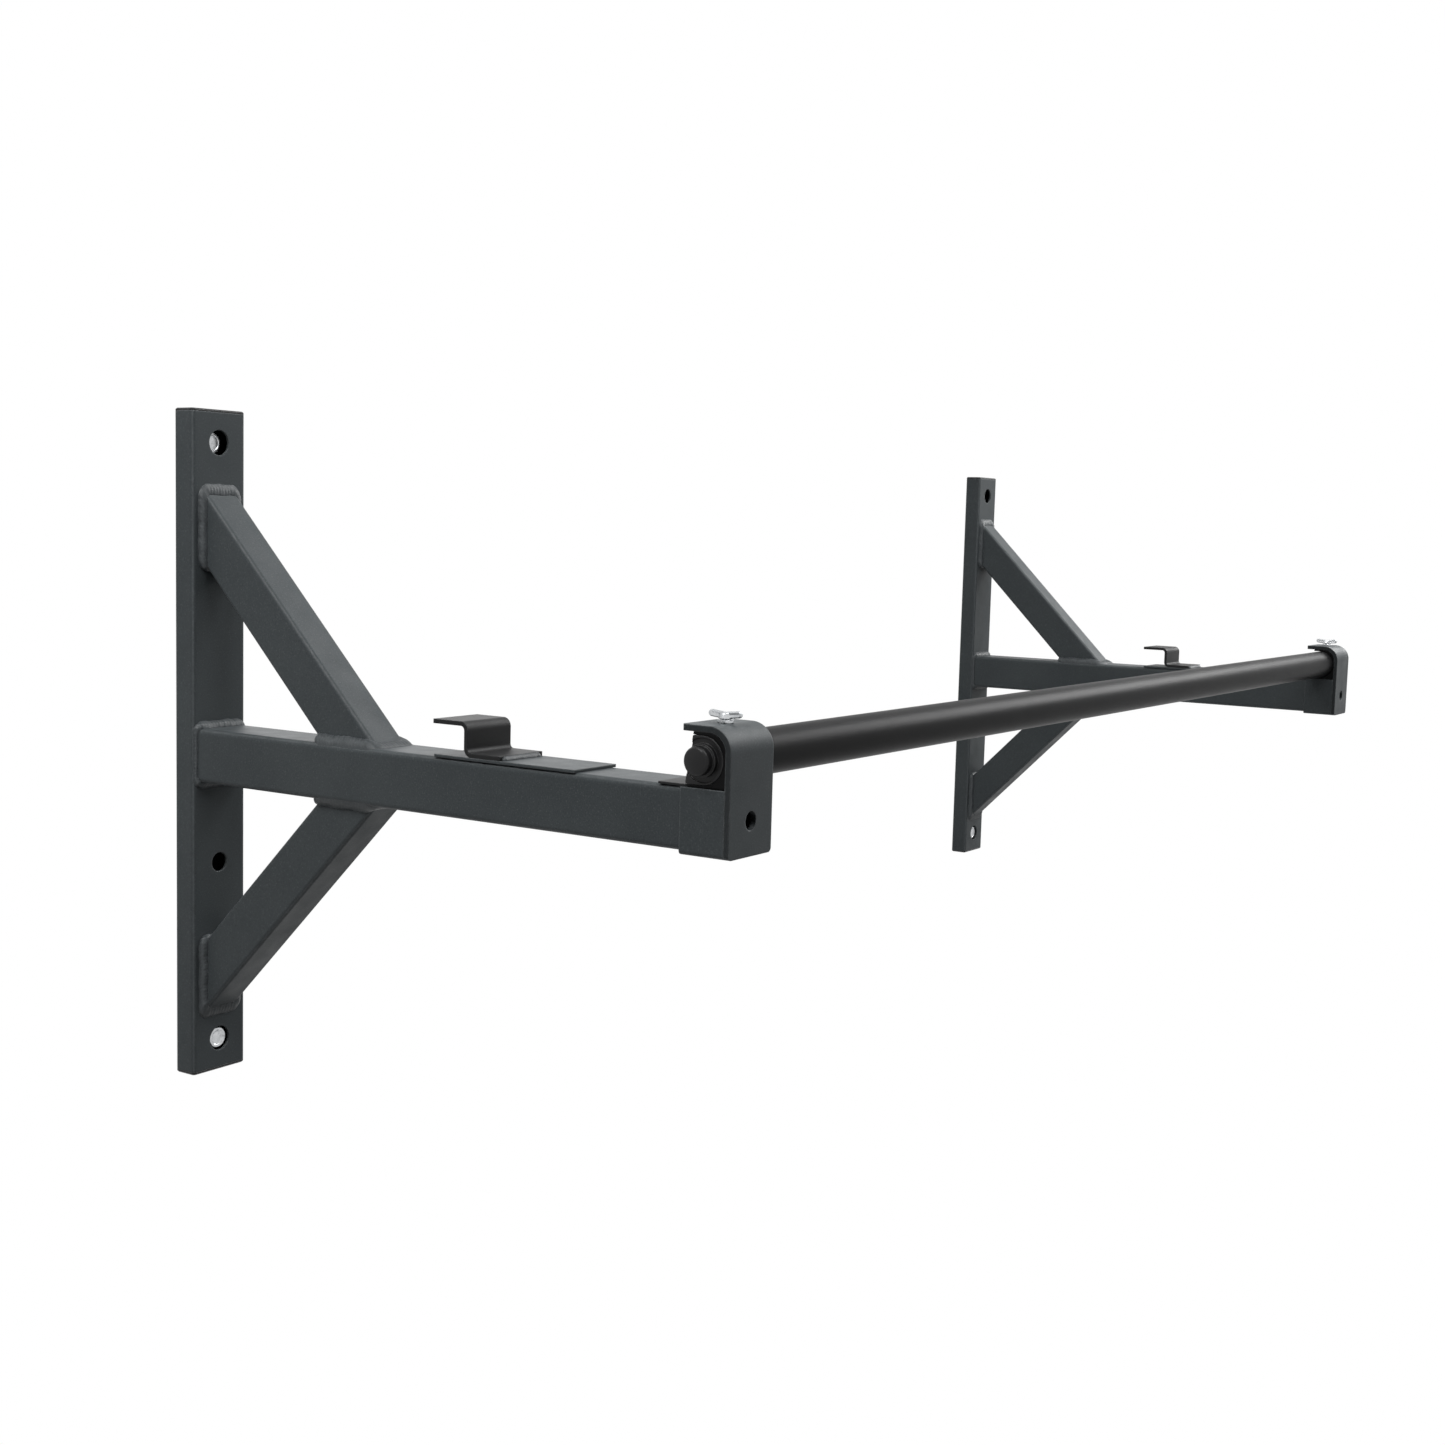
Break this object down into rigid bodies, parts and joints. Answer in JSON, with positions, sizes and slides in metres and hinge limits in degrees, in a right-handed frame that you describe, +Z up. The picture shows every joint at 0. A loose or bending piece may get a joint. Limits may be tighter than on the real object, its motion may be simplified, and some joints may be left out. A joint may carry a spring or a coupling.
{
  "type": "pull up bar",
  "caption": "Wall-mounted pull-up bar: braced steel tube brackets carry a straight round bar in front hooks with clamp screws; each arm has a low rear hook.",
  "frame": {"origin": "centre of the four wall bolts, on the wall plane", "axes": "+X along the bar, +Y into the wall, +Z up; the front is -Y"},
  "size_m": [1.3644, 0.54, 0.494],
  "materials": {
    "powder_coat": "fine-grained anthracite powder coat",
    "bar_coat": "satin black powder coat",
    "weld_coat": "coated weld bead",
    "black_plastic": "moulded black plastic",
    "zinc": "bright zinc plating"
  },
  "bodies": {
    "frame": {"left_upright": "powder_coat", "left_upright_top_cap": "black_plastic", "left_upright_bottom_cap": "black_plastic", "left_arm": "powder_coat", "left_upper_brace": "powder_coat", "left_lower_brace": "powder_coat", "left_weld_beads": "weld_coat", "left_hook_strip": "powder_coat", "left_end_sleeve": "powder_coat", "left_seat_plate": "bar_coat", "left_hook_liner": "black_plastic", "left_lip_nut": "zinc", "left_rear_hook": "bar_coat", "left_rear_base_plate": "powder_coat", "left_wall_bolts": "zinc", "left_wall_washers": "zinc", "left_bolt_spacers": "zinc", "right_upright": "powder_coat", "right_upright_top_cap": "black_plastic", "right_upright_bottom_cap": "black_plastic", "right_arm": "powder_coat", "right_upper_brace": "powder_coat", "right_lower_brace": "powder_coat", "right_weld_beads": "weld_coat", "right_hook_strip": "powder_coat", "right_end_sleeve": "powder_coat", "right_seat_plate": "bar_coat", "right_hook_liner": "black_plastic", "right_lip_nut": "zinc", "right_rear_hook": "bar_coat", "right_rear_base_plate": "powder_coat", "right_wall_bolts": "zinc", "right_wall_washers": "zinc", "right_bolt_spacers": "zinc"},
    "bar": {"pull_up_bar": "bar_coat", "left_bar_plug": "black_plastic", "right_bar_plug": "black_plastic"},
    "left_clamp_pad": {"left_clamp_pad": "black_plastic"},
    "left_wing_screw": {"left_wing_screw": "zinc"},
    "right_clamp_pad": {"right_clamp_pad": "black_plastic"},
    "right_wing_screw": {"right_wing_screw": "zinc"}
  },
  "joints": [
    {"name": "bar_slide", "type": "slide", "parent": "frame", "child": "bar", "axis": [0, 1, 0], "range_m": [0, 0.1]},
    {"name": "left_pad_lift", "type": "slide", "parent": "frame", "child": "left_clamp_pad", "axis": [0, 0, 1], "range_m": [0, 0.0006]},
    {"name": "left_screw_turn", "type": "hinge", "parent": "left_clamp_pad", "child": "left_wing_screw", "pos_m": [-0.65, -0.4697, 0.06], "axis": [0, 0, 1], "range_deg": [0, 215]},
    {"name": "right_pad_lift", "type": "slide", "parent": "frame", "child": "right_clamp_pad", "axis": [0, 0, 1], "range_m": [0, 0.0006]},
    {"name": "right_screw_turn", "type": "hinge", "parent": "right_clamp_pad", "child": "right_wing_screw", "pos_m": [0.65, -0.4697, 0.06], "axis": [0, 0, 1], "range_deg": [0, 215]}
  ],
  "couplings": [
    {"joint": "left_pad_lift", "follows": "left_screw_turn", "m_per_rad": 0.00015915},
    {"joint": "right_pad_lift", "follows": "right_screw_turn", "m_per_rad": 0.00015915}
  ]
}
